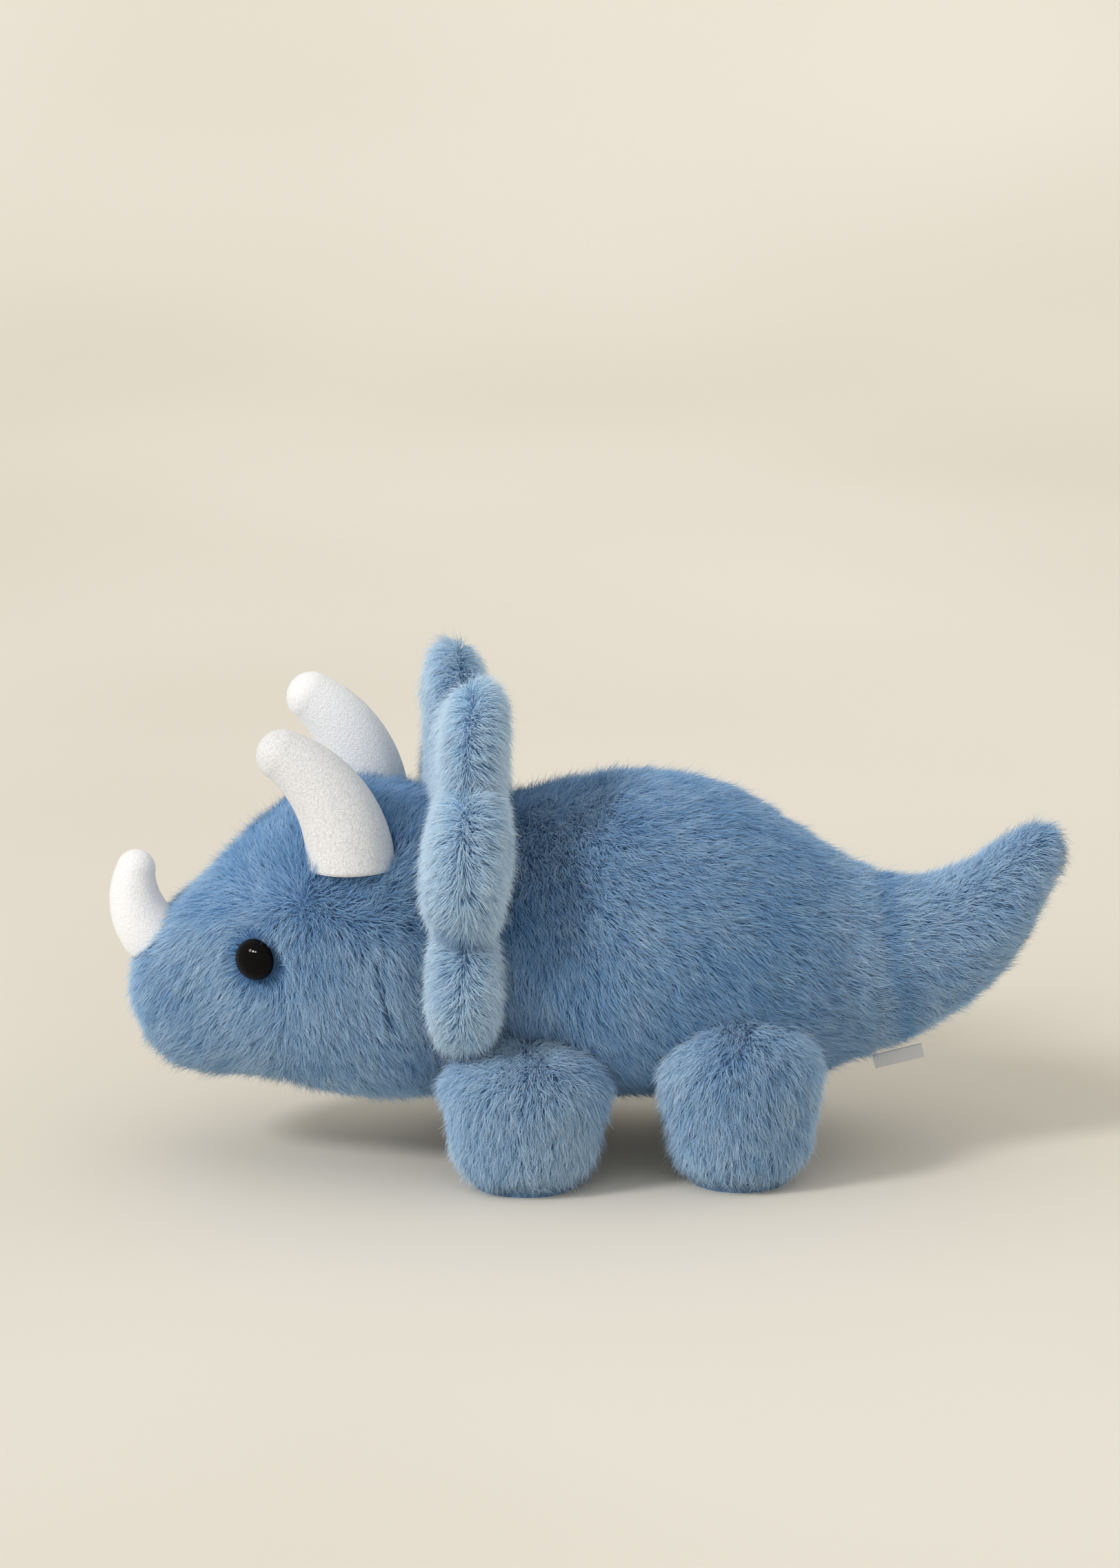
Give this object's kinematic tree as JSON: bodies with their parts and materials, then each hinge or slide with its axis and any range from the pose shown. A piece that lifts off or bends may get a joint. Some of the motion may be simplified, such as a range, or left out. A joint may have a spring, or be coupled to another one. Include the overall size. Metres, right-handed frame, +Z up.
{
  "type": "stuffed dinosaur",
  "caption": "Standing plush triceratops: blue fur body on stubby legs, scalloped neck frill, soft white horns, glossy eyes and an upturned tail.",
  "frame": {"origin": "on the ground, under the middle of the toy's box", "axes": "+Z up; the head points along -X and the tail along +X; the toy's left side faces -Y"},
  "size_m": [0.34, 0.158, 0.181],
  "materials": {
    "blue_fur": "matte",
    "white_velour": "matte",
    "polyester_stuffing": "matte",
    "eye_plastic": "gloss",
    "washer_plastic": "matte",
    "satin_label": "satin",
    "blue_thread": "matte"
  },
  "bodies": {
    "torso": {"torso_skin_left": "blue_fur", "torso_skin_right": "blue_fur", "belly_panel": "blue_fur", "torso_fill": "polyester_stuffing", "care_label": "satin_label", "closing_stitches": "blue_thread"},
    "head": {"head_skin_left": "blue_fur", "head_skin_right": "blue_fur", "forehead_gusset": "blue_fur", "head_fill": "polyester_stuffing", "frill_front": "blue_fur", "frill_back": "blue_fur", "frill_fill": "polyester_stuffing", "eye_left": "eye_plastic", "eye_right": "eye_plastic", "eye_washer_left": "washer_plastic", "eye_washer_right": "washer_plastic"},
    "tail": {"tail_skin_left": "blue_fur", "tail_skin_right": "blue_fur", "tail_fill": "polyester_stuffing"},
    "front_leg_left": {"front_leg_left_outer": "blue_fur", "front_leg_left_inner": "blue_fur", "front_leg_left_sole": "blue_fur", "front_leg_left_fill": "polyester_stuffing"},
    "front_leg_right": {"front_leg_right_outer": "blue_fur", "front_leg_right_inner": "blue_fur", "front_leg_right_sole": "blue_fur", "front_leg_right_fill": "polyester_stuffing"},
    "rear_leg_left": {"rear_leg_left_outer": "blue_fur", "rear_leg_left_inner": "blue_fur", "rear_leg_left_sole": "blue_fur", "rear_leg_left_fill": "polyester_stuffing"},
    "rear_leg_right": {"rear_leg_right_outer": "blue_fur", "rear_leg_right_inner": "blue_fur", "rear_leg_right_sole": "blue_fur", "rear_leg_right_fill": "polyester_stuffing"},
    "horn_left": {"horn_left_left_half": "white_velour", "horn_left_right_half": "white_velour", "horn_left_fill": "polyester_stuffing"},
    "horn_right": {"horn_right_left_half": "white_velour", "horn_right_right_half": "white_velour", "horn_right_fill": "polyester_stuffing"},
    "nose_horn": {"nose_horn_left_half": "white_velour", "nose_horn_right_half": "white_velour", "nose_horn_fill": "polyester_stuffing"}
  },
  "joints": [
    {"name": "head_nod", "type": "hinge", "parent": "torso", "child": "head", "pos_m": [-0.028, 0, 0.0775], "axis": [0, 1, 0], "range_deg": [-8, 8], "stiffness_Nm_per_rad": 4},
    {"name": "tail_wag", "type": "hinge", "parent": "torso", "child": "tail", "pos_m": [0.107, 0, 0.0705], "axis": [0, 0, 1], "range_deg": [-12, 12], "stiffness_Nm_per_rad": 0.5},
    {"name": "front_leg_left_swing", "type": "hinge", "parent": "torso", "child": "front_leg_left", "pos_m": [-0.0227, -0.0425, 0.0345], "axis": [0, 1, 0], "range_deg": [-10, 10], "stiffness_Nm_per_rad": 2.5},
    {"name": "front_leg_right_swing", "type": "hinge", "parent": "torso", "child": "front_leg_right", "pos_m": [-0.0227, 0.0425, 0.0345], "axis": [0, 1, 0], "range_deg": [-10, 10], "stiffness_Nm_per_rad": 2.5},
    {"name": "rear_leg_left_swing", "type": "hinge", "parent": "torso", "child": "rear_leg_left", "pos_m": [0.053, -0.0375, 0.0385], "axis": [0, 1, 0], "range_deg": [-10, 10], "stiffness_Nm_per_rad": 2.5},
    {"name": "rear_leg_right_swing", "type": "hinge", "parent": "torso", "child": "rear_leg_right", "pos_m": [0.053, 0.0375, 0.0385], "axis": [0, 1, 0], "range_deg": [-10, 10], "stiffness_Nm_per_rad": 2.5},
    {"name": "horn_left_flex", "type": "hinge", "parent": "head", "child": "horn_left", "pos_m": [-0.084, -0.033, 0.1125], "axis": [0, 1, 0], "range_deg": [-10, 10], "stiffness_Nm_per_rad": 0.12},
    {"name": "horn_right_flex", "type": "hinge", "parent": "head", "child": "horn_right", "pos_m": [-0.0795, 0.033, 0.113], "axis": [0, 1, 0], "range_deg": [-10, 10], "stiffness_Nm_per_rad": 0.12},
    {"name": "nose_horn_flex", "type": "hinge", "parent": "head", "child": "nose_horn", "pos_m": [-0.1543, 0, 0.079], "axis": [0, 1, 0], "range_deg": [-8, 8], "stiffness_Nm_per_rad": 0.12}
  ]
}
